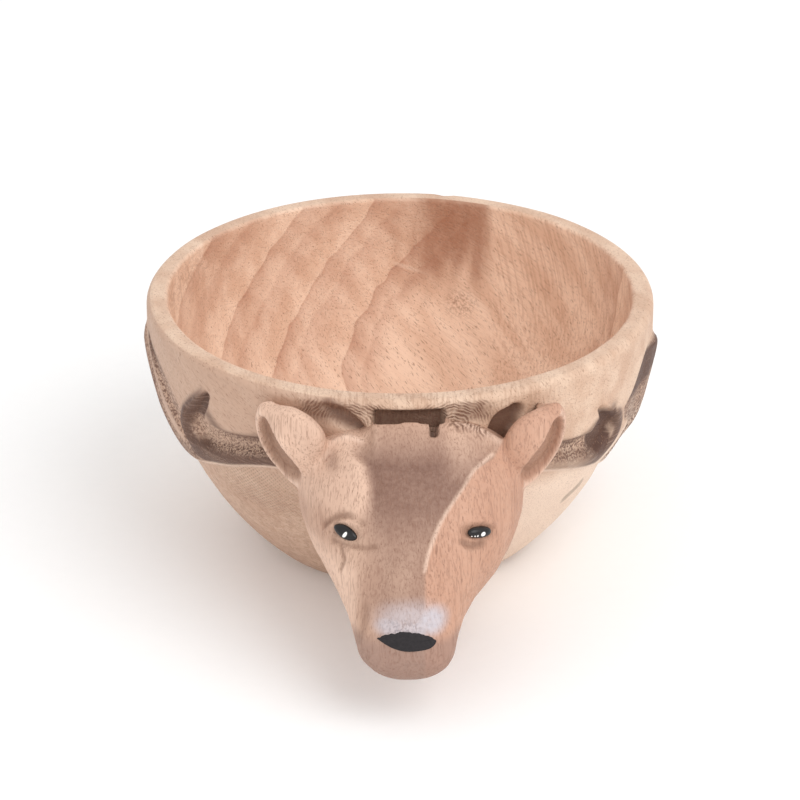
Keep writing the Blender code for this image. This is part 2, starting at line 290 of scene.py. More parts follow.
def carved_wood(
    name, fibre, base, pore_colour, layers, rings=None, pore_strength=0.6, inside=None, line_strength=0.1
):
    """Rubberwood, turned and carved, then lightly sanded and left without a film: light pinkish tan with
    short dark pores along the fibres, slow changes of tone, and darker and lighter places painted on the
    mesh as masks, some of them painted shade in hollows and creases and painted light on lit faces and
    edges. `layers` holds (mask, colour, strength, grain size in mm or None).
    """
    made, tree, shader = new_material(name, Roughness=0.62, IOR=1.5)
    place = add(tree, "TexCoord").outputs["Object"]
    turn = line_turn = fibre_turn(fibre)
    # Slow streaks along the fibres, about 5 mm wide and 40 mm long
    streak = streaks(tree, place, (5, 5, 40), 5.0, turn)
    tone = add(tree, "MapRange", {0: streak, 1: 0.35, 2: 0.68}, interpolation_type="SMOOTHSTEP").outputs[0]
    # Pores, 0.22 mm wide and 1.5 mm long: a little coarser than the real ones, so that they show
    pores = streaks(tree, place, (0.22, 0.22, 1.5), 1.0, turn, (0.60, 0.72))
    colour = tinted(tree, shade(base[0]), shade(base[1]), tone)
    if inside:
        inner = tinted(tree, shade(inside[0]), shade(inside[1]), tone)
        colour = tinted(tree, colour, inner, "inside")
    if rings:
        colour = add_rings(tree, place, fibre, colour, streak, rings)
        # Where the rings are cut edge-on they are only fine lines, 0.6 mm apart
        edge_lines = streaks(tree, place, (0.6, 0.6, 140), 2.0, fibre_turn(EDGE_LINES), (0.48, 0.62))
        colour = tinted(tree, colour, hex_colour("#b5866b"), edge_lines, "fine", 0.3)
        # Two scratches across the back of the cavity. The bowl's faint grain lines run with the second
        for start, end, wide, strength in SCRATCHES:
            start, end = Vector(start), Vector(end)
            line_turn = fibre_turn(end - start)
            mark = dab(tree, place, (start + end) / 2, line_turn, (wide, wide, (end - start).length / 2), 0.9)
            colour = tinted(tree, colour, hex_colour("#efd2bb"), mark, strength)
    # A mottle of about 1 mm that breaks up every painted mask
    mottle = {"Vector": place, "Scale": 1 / (0.9 * MM), "Detail": 4.0, "Roughness": 0.7}
    mottle = add(tree, "TexNoise", mottle).outputs[0]
    for mask, tint, strength, grain in layers:
        if grain:
            speck = add(tree, "TexNoise", {"Vector": place, "Scale": 1 / (grain * MM), "Detail": 3.0})
            limits = {0: speck.outputs[0], 1: 0.42, 2: 0.60}
            swing = add(tree, "MapRange", limits, interpolation_type="SMOOTHSTEP")
        elif mask == "burn_and_shade":
            # The heat of the cutter left level streaks in the darkened wood; the same streaks run through the
            # painted shade of the hollows beside the ears
            bands = streaks(tree, place, (5, 5, 0.4), 2.0)
            swing = add(tree, "MapRange", {0: bands, 1: 0.48, 2: 0.72, 3: 1.0, 4: 0.72})
        else:
            swing = add(tree, "MapRange", {0: mottle, 1: 0.3, 2: 0.7, 3: 0.88, 4: 1.12})
        painted = add(tree, "Attribute", attribute_name=mask).outputs["Fac"]
        worn = add(tree, "Math", {0: painted, 1: swing.outputs[0]}, operation="MULTIPLY").outputs[0]
        colour = tinted(tree, colour, shade(tint), worn, strength, clamp=True)
    # Grain lines, 0.4 mm wide and 9 mm long. They and the pores show less through the white
    lines = streaks(tree, place, (0.38, 0.38, 9), 3.0, line_turn, (0.50, 0.64))
    veil = add(tree, "Attribute", attribute_name="white").outputs["Fac"]
    bare = add(tree, "MapRange", {0: veil, 3: 1.0, 4: 0.25}).outputs[0]
    colour = tinted(tree, colour, hex_colour(pore_colour), lines, line_strength, bare)
    # Gouge ticks, 0.45 mm wide and 3 mm long, straight down the wall
    tick = add(tree, "Attribute", attribute_name="tick").outputs["Fac"]
    ticks = streaks(tree, place, (0.45, 3, 3), 2.0, cut=(0.50, 0.62))
    ticks = add(tree, "Math", {0: ticks, 1: tick}, operation="MULTIPLY").outputs[0]
    # The router's fine criss-cross, 0.6 mm apart
    hatch = add(tree, "Attribute", attribute_name="hatch").outputs["Fac"]
    for slant in (0.7, -0.7):
        bands = add(tree, "Mapping", {"Vector": place, "Rotation": (0.5, slant, 0)}, vector_type="TEXTURE")
        stripes = add(tree, "TexWave", {"Vector": bands.outputs[0], "Scale": WAVE_TURN / (0.6 * MM)})
        hatch = add(tree, "Math", {0: hatch, 1: stripes.outputs[0]}, operation="MULTIPLY").outputs[0]
    fan = gouge_fans(tree, place)
    for marks, tint, strength in ((ticks, "#a9826b", 0.8), (hatch, "#a08672", 0.8), (fan, "#7a5542", 1.0)):
        colour = tinted(tree, colour, hex_colour(tint), marks, strength, clamp=True)
    colour = tinted(tree, colour, hex_colour(pore_colour), pores, pore_strength, bare)
    tree.links.new(colour, shader.inputs["Base Color"])
    gloss = add(tree, "MapRange", {0: mottle, 1: 0.3, 2: 0.7, 3: 0.52, 4: 0.72})
    tree.links.new(gloss.outputs[0], shader.inputs["Roughness"])
    # The relief: open pores, a fine fuzz of cut fibres, and the marks of the gouge and the router
    height = mottle
    for marks, deep in ((pores, 1.0), (ticks, 1.6), (hatch, 1.6), (fan, 4.0), (lines, 0.7)):
        height = add(tree, "Math", {0: marks, 1: -deep, 2: height}, operation="MULTIPLY_ADD").outputs[0]
    bump = add(tree, "Bump", {"Height": height, "Strength": 0.55, "Distance": 0.10 * MM})
    tree.links.new(bump.outputs[0], shader.inputs["Normal"])
    return made


def gouge_fans(tree, place):
    """Arcs left by the gouge as it swung round beside the slot."""
    patches = add(tree, "TexNoise", {"Vector": place, "Scale": 1 / (1.6 * MM), "Detail": 2.0}).outputs[0]
    broken = add(tree, "MapRange", {0: patches, 1: 0.38, 2: 0.58, 3: 0.25, 4: 1.0}).outputs[0]
    fans = []
    for mask, middle, level, _, _ in GOUGE_FANS:
        spot = (middle * MM, -RIM_RADIUS * MM, (HEIGHT - level) * MM)
        space = add(
            tree, "Mapping", {"Vector": place, "Location": spot, "Scale": (MM, MM, MM)}, vector_type="TEXTURE"
        ).outputs[0]
        shape = {"Scale": WAVE_TURN / FAN_STEP, "Distortion": 12.0, "Detail": 4.0, "Detail Scale": 0.6}
        arcs = add(tree, "TexWave", {"Vector": space, **shape}, wave_type="RINGS", rings_direction="Y")
        strokes = add(tree, "Math", {0: arcs.outputs[1], 1: broken}, operation="MULTIPLY").outputs[0]
        painted = add(tree, "Attribute", attribute_name=mask).outputs["Fac"]
        fans.append(add(tree, "Math", {0: strokes, 1: painted}, operation="MULTIPLY").outputs[0])
    return add(tree, "Math", {0: fans[0], 1: fans[1]}, operation="MAXIMUM").outputs[0]


def add_rings(tree, place, fibre, colour, drift, rings):
    """Growth rings: shells round the middle of the tree, closer together further out. Each has a crisp dark
    line where one year's late wood ends, fading into the next ring."""
    tint, strength, first, spacing = rings
    away = add(tree, "VectorMath", {0: place, 1: PITH * MM}, operation="SUBTRACT").outputs[0]
    for size, reach in ((16, 5.0), (4, 0.9)):
        wander = add(tree, "TexNoise", {"Vector": place, "Scale": 1 / (size * MM), "Detail": 2.0}).outputs[1]
        sway = add(tree, "VectorMath", {0: wander, 1: (0.5, 0.5, 0.5)}, operation="SUBTRACT").outputs[0]
        away = add(
            tree, "VectorMath", {0: sway, 1: (reach * MM,) * 3, 2: away}, operation="MULTIPLY_ADD"
        ).outputs[0]
    across = add(tree, "VectorMath", {0: away, 1: fibre.normalized()}, operation="CROSS_PRODUCT").outputs[0]
    radius = add(tree, "VectorMath", {0: across}, operation="LENGTH").outputs["Value"]
    in_mm = add(tree, "Math", {0: radius, 1: 1 / MM}, operation="MULTIPLY").outputs[0]
    cubed = add(tree, "Math", {0: in_mm, 1: 3.0}, operation="POWER").outputs[0]
    year = add(tree, "MapRange", {0: cubed, 1: first, 2: first + spacing}, clamp=False).outputs[0]
    part = add(tree, "Math", {0: year}, operation="FRACT").outputs[0]
    season = add(tree, "ValToRGB", {0: part})
    stops = season.color_ramp.elements
    stops[0].position, stops[0].color = RING_PROFILE[0][0], (RING_PROFILE[0][1],) * 3 + (1,)
    stops[1].position, stops[1].color = RING_PROFILE[-1][0], (RING_PROFILE[-1][1],) * 3 + (1,)
    for position, level in RING_PROFILE[1:-1]:
        stops.new(position).color = (level, level, level, 1)
    inner_end, outer_end = (
        add(tree, "MapRange", {0: in_mm, **ends}, interpolation_type="SMOOTHSTEP").outputs[0]
        for ends in ({1: 33.0, 2: 39.0}, {1: 73.0, 2: 76.5, 3: 1.0, 4: 0.0})
    )
    inner = add(tree, "Attribute", attribute_name="inside").outputs["Fac"]
    share = add(tree, "MapRange", {0: inner, 3: 0.2, 4: 1.0}).outputs[0]
    patchy = add(tree, "MapRange", {0: drift, 1: 0.3, 2: 0.7, 3: 0.6, 4: 1.2}).outputs[0]
    factors = (season.outputs[0], inner_end, outer_end, share, patchy, strength)
    return tinted(tree, colour, hex_colour(tint), *factors)


# The bowl

# One antler as it lies on the left of the wall: (angle, depth)
PILLOW_TROUGH = ((22, 12.6), (28, 13.2), (32.4, 14.0), (37.3, 15.0), (42.5, 15.9), (47.8, 16.2), (51.6, 15.2),
                 (52.4, 12.8), (51.0, 10.3), (49.0, 8.4), (47.6, 6.8))
PILLOW_TROUGH_WIDTH = (1.7, 1.8, 1.9, 2.0, 2.3, 2.7, 2.5, 2.0, 1.6, 1.1, 0.5)
BEAM_CREST = ((20, 15.0), (26, 15.2), (30.6, 15.9), (35, 16.9), (41.3, 18.6), (47.9, 20.0), (53.6, 20.8),
              (57.4, 19.4), (58.0, 16.8), (56.2, 13.6), (53.4, 10.8), (50.6, 8.2), (48.2, 6.0))
BEAM_CREST_WIDTH = (1.9, 2.0, 2.0, 2.1, 2.2, 2.4, 2.5, 2.2, 1.8, 1.5, 1.3, 1.0, 0.7)
PILLOW_EDGE = ((24, 10.8), (31.5, 11.6), (35.5, 12.9), (39.6, 13.8), (43.5, 13.4), (46.2, 11.8), (47.8, 9.8))
BACK_TROUGH = ((60.6, 19.8), (62.8, 16.8), (66.4, 13.8), (70.4, 11.2), (74.4, 8.8), (78.4, 6.6))
BACK_TROUGH_WIDTH = (1.6, 2.6, 2.8, 2.4, 1.8, 1.0)
BACK_CREST = ((53, 21.4), (59, 23.8), (65, 25.4), (71, 25.4), (76, 22.8), (79.6, 18.4), (82, 13.6), (84, 9.2),
              (85.4, 6.0))
BACK_CREST_WIDTH = (2.2, 2.3, 2.3, 2.4, 2.4, 2.2, 2.0, 1.7, 1.2)
BEAM_FOOT = ((0, 15.5), (20, 16.3), (31.5, 17.6), (36.4, 18.8), (42, 20.6), (50.4, 23.0), (58, 25.6),
             (65, 27.6), (72, 28.4), (78, 26.4), (83, 21.0), (88, 12.0))
ARC_MM = 0.82  # millimetres round the wall for each degree
SLOT_MIDDLE = 1.9  # degrees round the wall
SLOT_HALF = 7.6
# The right antler's upright tine, broader than the left one's, and the rear and front edges of its back
# tine as (depth, angle)
RIGHT_TINE = ((55.0, 20.0), (53.4, 16.6), (53.9, 13.6), (54.2, 12.0))
RIGHT_TINE_WIDTH = (2.6, 3.7, 3.1, 2.6)
RIGHT_BACK_REAR = (
    (4.5, 78.0), (6.5, 82.5), (9.0, 86.0), (13.0, 88.0), (17.0, 87.5),
    (21.0, 85.0), (24.5, 80.5), (27.5, 74.0), (30.0, 66.0),
)
RIGHT_BACK_EDGE = (
    (6.0, 73.5), (7.5, 70.5), (9.6, 67.8), (12.6, 65.0), (15.0, 61.8),
    (18.5, 64.5), (21.0, 70.0), (23.5, 72.5), (25.5, 66.0), (27.0, 58.0),
)
# Gouged hollows on the wall: a line of (angle, depth), the half width along it, and how deep
WALL_HOLLOWS = (
    (((-15.4, 1.6), (-13.5, 2.9), (-11.3, 4.4), (-8.9, 5.7), (-7.4, 6.8)), (1.2, 1.6, 1.3, 0.9, 0.4), 1.9),
    (((25.4, 4.4), (23.6, 6.0), (22.2, 8.2), (22.6, 11.2)), (1.4, 2.4, 2.4, 1.6), 2.2),
)
# Fans of gouge strokes beside the slot: mask, middle (mm round the wall, depth), reach, angle where their
# painted shade is darkest
GOUGE_FANS = (("fan_left", -9.4, 6.4, 11.5, -15.5), ("fan_right", 9.6, 6.4, 10.0, 16.0))
FAN_STEP = 0.6
# Scratches inside: two ends, half width, strength
SCRATCHES = (
    ((-3.2, 44.3, HEIGHT - 13.4), (6.8, 43.4, HEIGHT - 16.5), 0.7, 0.7),
    ((11.6, 41.4, HEIGHT - 18.4), (20.4, 36.2, HEIGHT - 22.9), 1.2, 0.55),
)
SIDES = ((-1, 0.0, 0.0), (1, 3.0, 1.9))  # the right antler is carved a little further round and lower


def bowl_section():
    """(radius, depth) of the turned section: foot, wall, rim and cavity."""
    foot_radius = float(wall_radius(HEIGHT))
    section = [(foot_radius * i / 7, HEIGHT) for i in range(7)]
    for i in range(5):
        turn = pi / 2 * i / 4
        section.append((foot_radius - FOOT_ROUND * (1 - sin(turn)), HEIGHT - FOOT_ROUND * (1 - cos(turn))))
    rows = 104
    for i in range(1, rows + 1):
        depth = HEIGHT - FOOT_ROUND - (HEIGHT - FOOT_ROUND - OUTER_ROUND) * i / rows
        section.append((float(wall_radius(depth)), depth))
    for i in range(1, 8):
        turn = pi / 2 * i / 7
        section.append((RIM_RADIUS - OUTER_ROUND * (1 - cos(turn)), OUTER_ROUND * (1 - sin(turn))))
    for i in range(5):
        turn = pi / 2 * i / 4
        section.append((MOUTH_RADIUS + INNER_ROUND * (1 - sin(turn)), INNER_ROUND * (1 - cos(turn))))
    steps = 44
    for i in range(1, steps):
        turn = pi / 2 * i / steps
        depth = INNER_ROUND + (CAVITY_DEPTH - INNER_ROUND) * sin(turn)
        section.append((float(cavity_radius(depth)), depth))
    return section + [(0.0, CAVITY_DEPTH)]


def spun(section, fine_steps, coarse_steps):
    """Spins a section round Z, with finer steps on the carved front half."""
    bm = bmesh.new()
    points = [bm.verts.new((-radius * MM, 0, (HEIGHT - depth) * MM)) for radius, depth in section]
    geometry = points + [bm.edges.new(pair) for pair in zip(points, points[1:])]
    for steps in (fine_steps, coarse_steps):
        made = bmesh.ops.spin(bm, geom=geometry, cent=(0, 0, 0), axis=(0, 0, 1), angle=pi, steps=steps)
        geometry = made["geom_last"]
    bmesh.ops.remove_doubles(bm, verts=bm.verts, dist=0.004 * MM)
    bmesh.ops.recalc_face_normals(bm, faces=bm.faces)
    return bm


def wall_route(route, width):
    """A carved line on the wall as a smooth curve in millimetres, with its width at each point."""
    joined = smooth_route([(angle * ARC_MM, depth, w) for (angle, depth), w in zip(route, width)])
    return joined[:, :2], joined[:, 2]


def along_route(points, route, width):
    """Distance to a carved line as a share of its own width there."""
    line, widths = wall_route(route, width)
    distance, where = nearest(points, line)
    return distance, np.interp(where, np.linspace(0, 1, len(widths)), widths)


def carve_antlers(clay, angle, depth, outer):
    """Both antlers: a scooped trough round the smooth wall, and a rounded rib along its outer edge."""
    lift = np.zeros(len(angle))
    masks = {name: np.zeros(len(angle)) for name in ("burn_and_shade", "stipple", "brown", "crisp")}
    grit = roughness_of(clay.points, 0.9, 3.0)
    for side, shift, drop in SIDES:
        lower = drop + (2.4 * ease((15 - depth) / 7) if side > 0 else 0)
        local = np.stack([(side * angle - shift) * ARC_MM, depth - lower], 1)
        near = outer & (side * angle > 2) & (side * angle < 100) & (depth < 45)
        place = local[near]
        level = place[:, 1]
        foot = np.interp(place[:, 0], [a * ARC_MM for a, _ in BEAM_FOOT], [d for _, d in BEAM_FOOT])
        below = level - foot
        end = 1 - ease((place[:, 0] / ARC_MM - 80) / 10)
        distance, wide = along_route(place, PILLOW_TROUGH, PILLOW_TROUGH_WIDTH)
        scoop = plateau(distance, wide + 0.3, 1.0)
        rise = -1.35 * scoop + 0.06 * grit[near] * scoop
        brown = plateau(distance, wide, 1.4) * ease((level - 10.5) / 2.0)
        stipple = plateau(distance, wide * 0.8, 1.2) * ease((level - 12.5) / 2.0)
        stipple *= 1.0 if side < 0 else 0.12
        rib, tip = antler_rib(place, BEAM_CREST, BEAM_CREST_WIDTH)
        tall = 1.0 if side < 0 else 1.0 - 0.5 * ease((place[:, 0] / ARC_MM - 46) / 6)
        rise = rise * (1 - 0.85 * rib[0]) + tall * rib[0] * tip
        if side < 0:
            burn_and_shade = plateau(distance, wide * 1.2 + 0.3, 1.6) * ease((14.8 - level) / 3.0)
            burn_and_shade *= ease((level - 3.6) / 2.6)
            brown = np.maximum(brown, bell(np.hypot(place[:, 0] - 45.2, level - 17.2), 3.6))
            burn_and_shade = np.maximum(burn_and_shade, rib[1] * tip)
            distance, wide = along_route(place, BACK_TROUGH, BACK_TROUGH_WIDTH)
            rise -= 0.8 * plateau(distance, wide + 0.3, 1.0)
            back = plateau(distance, wide * 1.2 + 0.8, 1.6)
            burn_and_shade = np.maximum(burn_and_shade, back * ease((12.5 - level) / 5.0) * 0.8)
            rib, tip = antler_rib(place, BACK_CREST, BACK_CREST_WIDTH)
            rise = rise * (1 - 0.85 * rib[0]) + 0.8 * rib[0] * tip
            brown = np.maximum(brown, np.maximum(back, rib[1]))
            burn_and_shade = np.maximum(burn_and_shade, 0.45 * rib[0])
        else:
            far = ease((place[:, 0] / ARC_MM - 40) / 10)
            burn_and_shade = rib[1] * tip * (0.5 + 0.5 * far) * ease((level - 9) / 3)
            truly = np.stack([angle[near] * ARC_MM, depth[near]], 1)
            distance, wide = along_route(truly, RIGHT_TINE, RIGHT_TINE_WIDTH)
            tine = plateau(distance, wide, 1.8) * ease((truly[:, 1] - 9.6) / 5.0)
            burn_and_shade = np.maximum(burn_and_shade, 1.45 * tine)
            rise -= 0.5 * tine * (1 - rib[0])
            edge = np.interp(depth[near], *zip(*RIGHT_BACK_EDGE))
            rear = np.interp(depth[near], *zip(*RIGHT_BACK_REAR))
            back = ease((angle[near] - edge) / 1.6) * (1 - ease((angle[near] - rear) / 1.6))
            back *= ease((depth[near] - 5.5) / 2) * (1 - ease((depth[near] - 27.5) / 2.5))
            burn_and_shade = np.maximum(burn_and_shade, back * (1.25 - 0.9 * ease((depth[near] - 12.5) / 3.5)))
            brown = np.maximum(brown, back)
            rib = bell(angle[near] - rear + 2.6, 3.6) * back
            swell = 0.5 * rib - 0.3 * back + back * ease((angle[near] - 73) / 7)
            rise += swell * (1 - plateau(distance, wide, 1.8))
            burn_and_shade = np.maximum(burn_and_shade, 0.5 * rib)
        line, _ = wall_route(PILLOW_EDGE, (1,) * len(PILLOW_EDGE))
        distance, _ = nearest(place, line)
        burn_and_shade = np.maximum(burn_and_shade, 0.75 * bell(distance, 1.9) * ease((level - 8) / 3))
        rise -= 0.7 * ease(below / 0.9) * (1 - ease(below / 6)) * end
        lift[near] += rise
        above = 1 - ease((below + 0.5) / 0.6)
        masks["burn_and_shade"][near] += burn_and_shade * above
        masks["stipple"][near] += stipple * above
        masks["brown"][near] += brown * above * end
        # A painted highlight along the lower edge of the beam
        masks["crisp"][near] += bell(below - 0.3, 0.75) * end
    for name, amount in masks.items():
        clay.paint(name, amount)
    return lift


def antler_rib(place, route, width):
    """A rib's height and its painted face, and how much of both is left towards its tip."""
    distance, wide = along_route(place, route, width)
    return (bell(distance, wide * 1.25), plateau(distance, wide * 1.1, 1.4)), ease((place[:, 1] - 3.5) / 5.0)


def carve_recess(clay, angle, depth, outer):
    """The gouged hollow between the rim and the crown: a straight slot, and a hollow beside each ear."""
    place = np.stack([angle * ARC_MM, depth], 1)
    across = np.abs(place[:, 0] - SLOT_MIDDLE * ARC_MM)
    slot = plateau(across, SLOT_HALF * ARC_MM, 0.5) * ease((depth - 1.7) / 0.5)
    slot *= 1 - ease((depth - 8.0) / 3.0)
    lift = -2.3 * slot
    cut = slot
    inside_cut = slot
    for route, width, deep in WALL_HOLLOWS:
        distance, wide = along_route(place, route, width)
        hollow = plateau(distance, wide, 1.3)
        lift -= deep * hollow
        cut = np.maximum(cut, 0.9 * hollow)
        inside_cut = np.maximum(inside_cut, hollow)
    for name, middle, level, reach, shade_at in GOUGE_FANS:
        away = np.hypot(place[:, 0] - middle, depth - level)
        fan = plateau(away, reach * 0.8, 4.0) * ease((level - depth) / 2.5) * ease((depth - 0.2) / 1.2)
        clay.paint(name, fan * (1 - inside_cut) * outer)
        cut = np.maximum(cut, 0.65 * fan**2 * bell(angle - shade_at, 9))
        lift -= 0.35 * fan
    # Painted shade: the slot, the hollows and the gouge fans nearest the ears are darkened in the colour, as
    # shade falls in them
    clay.paint("cut", cut * outer)
    # Painted shade: the hollows beside the ears are darkened further with the burnt colour
    clay.paint("burn_and_shade", 0.65 * inside_cut * (1 - slot) * outer)
    return lift * outer


def carve_bowl(made, settings):
    clay = Clay(made.data)
    x, y, z = clay.points.T
    angle = np.degrees(np.arctan2(x, -y))
    depth = HEIGHT - z
    radius = np.hypot(x, y)
    outer = radius > (wall_radius(depth) + cavity_radius(depth)) / 2
    outer &= (depth > 0.2) & (depth < HEIGHT - 0.9)
    inner = radius < cavity_radius(depth) + 0.5
    lift = settings.antler_relief * carve_antlers(clay, angle, depth, outer)
    lift += carve_recess(clay, angle, depth, outer)
    # Ripples left by the gouge and the sander
    ripple = roughness_of(clay.points * (1, 1, 0.45), 7.0, 11.0)
    lift += 0.10 * ripple * outer
    lift += 0.05 * ripple * inner
    outward = np.stack([x, y, np.zeros_like(x)], 1) / np.maximum(radius, 0.01)[:, None]
    fade = ease((depth - 0.6) / 3.0)
    clay.points += outward * (lift * np.where(outer, fade, 1.0))[:, None]
    # The hand-eased rim dips a little, and has a small chip at the back
    top = ease((3.0 - depth) / 3.0)
    clay.points[:, 2] += 0.10 * top * roughness_of(clay.points, 16.0, 5.0)
    chip = bell(np.linalg.norm(clay.points - (9.6, 49.4, HEIGHT), axis=1), 2.4)
    clay.points[:, 2] -= settings.chip_depth / MM * chip
    clay.paint("inside", ease((cavity_radius(depth) + 0.9 - radius) / 0.9) * (depth > 0.05))
    clay.paint("white", np.zeros(len(x)))
    front = bell(angle, 62)
    clay.paint("tick", 0.55 * front * plateau(depth, 4.2, 2.0) * (radius > MOUTH_RADIUS + 0.4))
    stain = smooth_route(((50.5 * ARC_MM, 32.4), (52.8 * ARC_MM, 31.4), (55.0 * ARC_MM, 30.4)))
    distance, _ = nearest(np.stack([angle * ARC_MM, depth], 1), stain)
    clay.paint("stain", plateau(distance, 1.25, 0.6) * outer)
    left = ease((-angle) / 20) * ease((110 + angle) / 30)
    # Painted shade on the left of the outer wall, strongest low down, where the key light from the right
    # falls less; partly the wood's own browner tone
    clay.paint("left_shade_and_tone", left * (0.85 - 0.35 * ease((depth - 17) / 6)) * outer)
    clay.paint("mottled", 0.75 * left * ease((depth - 21) / 5) * outer)
    # Painted light on the lower right of the outer wall, where the key light from the right falls; partly the
    # paler wood there
    clay.paint("pale_and_lit", ease((angle - 5) / 20) * ease((120 - angle) / 30) * ease((depth - 19) / 6) * outer)
    hatched = plateau(np.abs(depth - 24.5), 6.0, 4.0) * ease((depth - 18.5) / 1.5)
    clay.paint("hatch", bell(angle + 36, 20) * hatched * outer)
    # Inside: a dark patch of heartwood at the back, a scratch and rougher places, fine lines on the right
    back = inner * (y > 0)
    wave = roughness_of(clay.points * (1, 1, 0.25), 2.2, 31.0)
    band = ease((x + 3.5 + 3 * wave) / 12) * (1 - ease((x - 16.8 + 1.4 * wave) / 3.4))
    band *= (1 - ease((depth - 8 - 4 * wave) / 15)) * (0.95 + 0.12 * wave)
    clay.paint("heart", back * band)
    rub = np.hypot((x - 12.7) / 5.0, (depth - 21.5) / 3.6)
    clay.paint("rub", back * bell(rub, 1.0))
    clay.paint("fine", np.maximum(inner * ease((x - 17.5) / 3), 0.9 * back * band))
    clay.paint("mottled", inner * bell(np.hypot((angle + 100) / 40, (depth - 4) / 6), 1.0))
    clay.finish()


# The head
SLOT_CUTTER = ((-4.9, 44.0, -2.0), (8.2, 51.3, 8.5))  # x, forward and depth of two corners


def head_loop(forward_top, depth_top, forward_jaw, depth_jaw, half_width, middle):
    """One slice across the head: broad at the brow, narrower at the jaw."""
    top = Vector((0, -forward_top, -depth_top))
    jaw = Vector((0, -forward_jaw, -depth_jaw))
    points = []
    for i in range(HEAD_SIDES):
        turn = 2 * pi * i / HEAD_SIDES
        across = abs(sin(turn)) ** (2 / HEAD_SQUARENESS) * (1 if sin(turn) >= 0 else -1)
        along = abs(cos(turn)) ** (2 / HEAD_SQUARENESS) * (1 if cos(turn) >= 0 else -1)
        down = (1 - along) / 2
        taper = 1 - 0.22 * float(ease((down - 0.42) / 0.58))
        point = top.lerp(jaw, down)
        point.x = middle + across * half_width * taper
        point.z += HEIGHT
        points.append(point * MM)
    return points


def add_loft(bm, loops):
    rings = []
    for points in loops:
        verts = [bm.verts.new(point) for point in points]
        rings.append([bm.edges.new((a, b)) for a, b in zip(verts, verts[1:] + verts[:1])])
    for near, far in zip(rings, rings[1:]):
        bmesh.ops.bridge_loops(bm, edges=near + far)
    bmesh.ops.holes_fill(bm, edges=rings[0] + rings[-1], sides=len(rings[0]))


def facing(location, along, outward):
    """A placement whose X runs along one direction and whose Z faces another, as near as it can."""
    x = Vector(along).normalized()
    y = Vector(outward).cross(x).normalized()
    z = x.cross(y)
    return Matrix.Translation(Vector(location)) @ Matrix((x, y, z)).transposed().to_4x4()


def ear_place(side):
    middle = Vector((2.0 + side * 22.6, -47.6, HEIGHT - 9.3))
    return facing(middle, (side * 0.42, 0.10, 0.82), (side * 0.62, -0.78, 0.05))


def on_head(x, forward, depth):
    return np.array((x, -forward, HEIGHT - depth))


def head_route(*places):
    return smooth_route([on_head(*place) for place in places])


def rough_head():
    """The roughed-out block: the head with both ears, made one skin of even faces."""
    bm = bmesh.new()
    add_loft(bm, [head_loop(*station) for station in HEAD_STATIONS])
    for side in (-1, 1):
        ear = bmesh.ops.create_uvsphere(bm, u_segments=32, v_segments=20, radius=0.5)["verts"]
        for vert in ear:
            if side * vert.co.y > 0:
                vert.co.y *= 1 + (0.75 if side < 0 else 0.2) * float(bell(2 * vert.co.x - 0.35, 1.3))
            vert.co.x *= 1 + (0.08 if side * vert.co.y < 0 else -0.06)
        bmesh.ops.scale(bm, vec=(18 * MM, 11.5 * MM, 7.5 * MM), verts=ear)
        place = ear_place(side)
        place.translation *= MM
        bmesh.ops.transform(bm, matrix=place, verts=ear)
    bmesh.ops.recalc_face_normals(bm, faces=bm.faces)
    rough = new_object("rough_head", bm, [])
    bm = bmesh.new()
    low, high = (on_head(*corner) * MM for corner in SLOT_CUTTER)
    box = bmesh.ops.create_cube(bm, size=1)["verts"]
    bmesh.ops.scale(bm, vec=np.abs(high - low), verts=box)
    bmesh.ops.translate(bm, vec=(high + low) / 2, verts=box)
    cutter = new_object("slot_cutter", bm, [])
    slot = rough.modifiers.new("slot", "BOOLEAN")
    slot.operation = "DIFFERENCE"
    slot.object = cutter
    slot.use_self = True
    remesh = rough.modifiers.new("skin", "REMESH")
    remesh.mode = "VOXEL"
    remesh.voxel_size = HEAD_VOXEL * MM
    bpy.context.view_layer.update()
    evaluated = rough.evaluated_get(bpy.context.evaluated_depsgraph_get())
    bm = bmesh.new()
    bm.from_mesh(evaluated.to_mesh())
    evaluated.to_mesh_clear()
    bpy.data.objects.remove(rough)
    bpy.data.objects.remove(cutter)
    for _ in range(6):
        bmesh.ops.smooth_vert(
            bm, verts=bm.verts, factor=0.5, use_axis_x=True, use_axis_y=True, use_axis_z=True
        )
    return bm


def stroke(clay, route, width, height, shape=bell, only=None, **paint):
    """Raises or sinks the surface along a route, and paints masks along it. `paint` is mask=strength."""
    distance, _ = nearest(clay.points, route)
    amount = shape(distance, width) if shape is not plateau else plateau(distance, width, 0.8)
    if only is not None:
        amount = amount * only
    clay.raise_by(height * amount)
    for name, strength in paint.items():
        clay.paint(name, strength * amount)
    return amount


def in_frame(points, place):
    """Points in the axes of a placement."""
    return (points - np.array(place.translation)) @ np.array(place.to_3x3())


def carve_ears(clay):
    for side in (-1, 1):
        place = ear_place(side)
        u, v, w = in_frame(clay.points, place).T
        near = (np.abs(u) < 11) & (np.abs(v) < 9.5) & (w > -2.5)
        outward = np.array(place.to_3x3().col[2])
        # The hollow: a long drop, its round end at the root, and a crisp lip all round. The hollow is painted
        # darker as painted shade, the raised flap lighter as painted light, and the lip gets a painted
        # highlight
        outer = -side * v  # + towards the ear's outer edge
        share = np.hypot((u + 0.3) / 7.4, (outer - 1.5) / (3.6 - 0.12 * u))
        hollow = (1 - ease((share - 0.74) / 0.34)) * near
        clay.points -= outward * (2.6 * hollow)[:, None]
        clay.paint("hollow", hollow * (1.0 if side < 0 else 0.7))
        flap = bell(np.hypot((u - 1.5) / 7.5, (outer + 2.2) / 3.2), 1.0) * near
        clay.points += outward * (0.8 * flap)[:, None]
        clay.paint("pale_and_lit", flap)
        lip = bell(np.abs(share - 1.05), 0.16) * near
        clay.paint("crisp", 0.8 * lip * (outer > 1.0))
        clay.settle()


